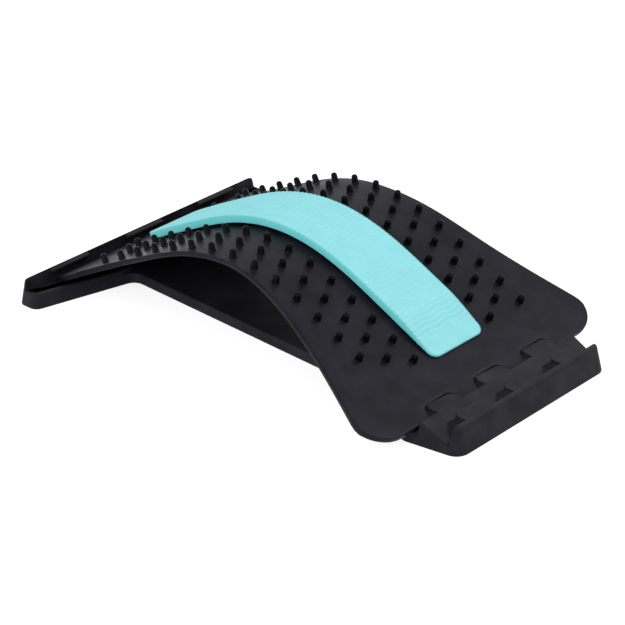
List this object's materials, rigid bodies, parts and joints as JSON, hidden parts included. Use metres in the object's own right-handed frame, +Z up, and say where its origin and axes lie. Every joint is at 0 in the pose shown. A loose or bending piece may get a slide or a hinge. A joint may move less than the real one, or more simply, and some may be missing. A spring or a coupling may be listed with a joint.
{
  "type": "back stretcher",
  "caption": "Arched back stretcher: a sprung board with massage nubs and a foam spine pad, seated in a dog-bone base with stepped rows that set its height.",
  "frame": {"origin": "on the ground under the middle of the base", "axes": "+X runs along the spine towards the height-setting end, +Y across the board, +Z up"},
  "size_m": [0.3972, 0.25, 0.0895],
  "materials": {
    "base_plastic": "fine-textured black moulding",
    "board_plastic": "satin black moulding",
    "adhesive": "double-sided tape",
    "foam": "soft foam with fine cross ribs"
  },
  "bodies": {
    "base": {"base": "base_plastic"},
    "board": {"arched_board": "board_plastic", "pad_adhesive_film": "adhesive", "foam_pad": "foam"}
  },
  "joints": [
    {"name": "board_swing", "type": "hinge", "parent": "base", "child": "board", "pos_m": [-0.19043, 0, 0.01079], "axis": [0, -1, 0], "range_deg": [0, 38]}
  ]
}
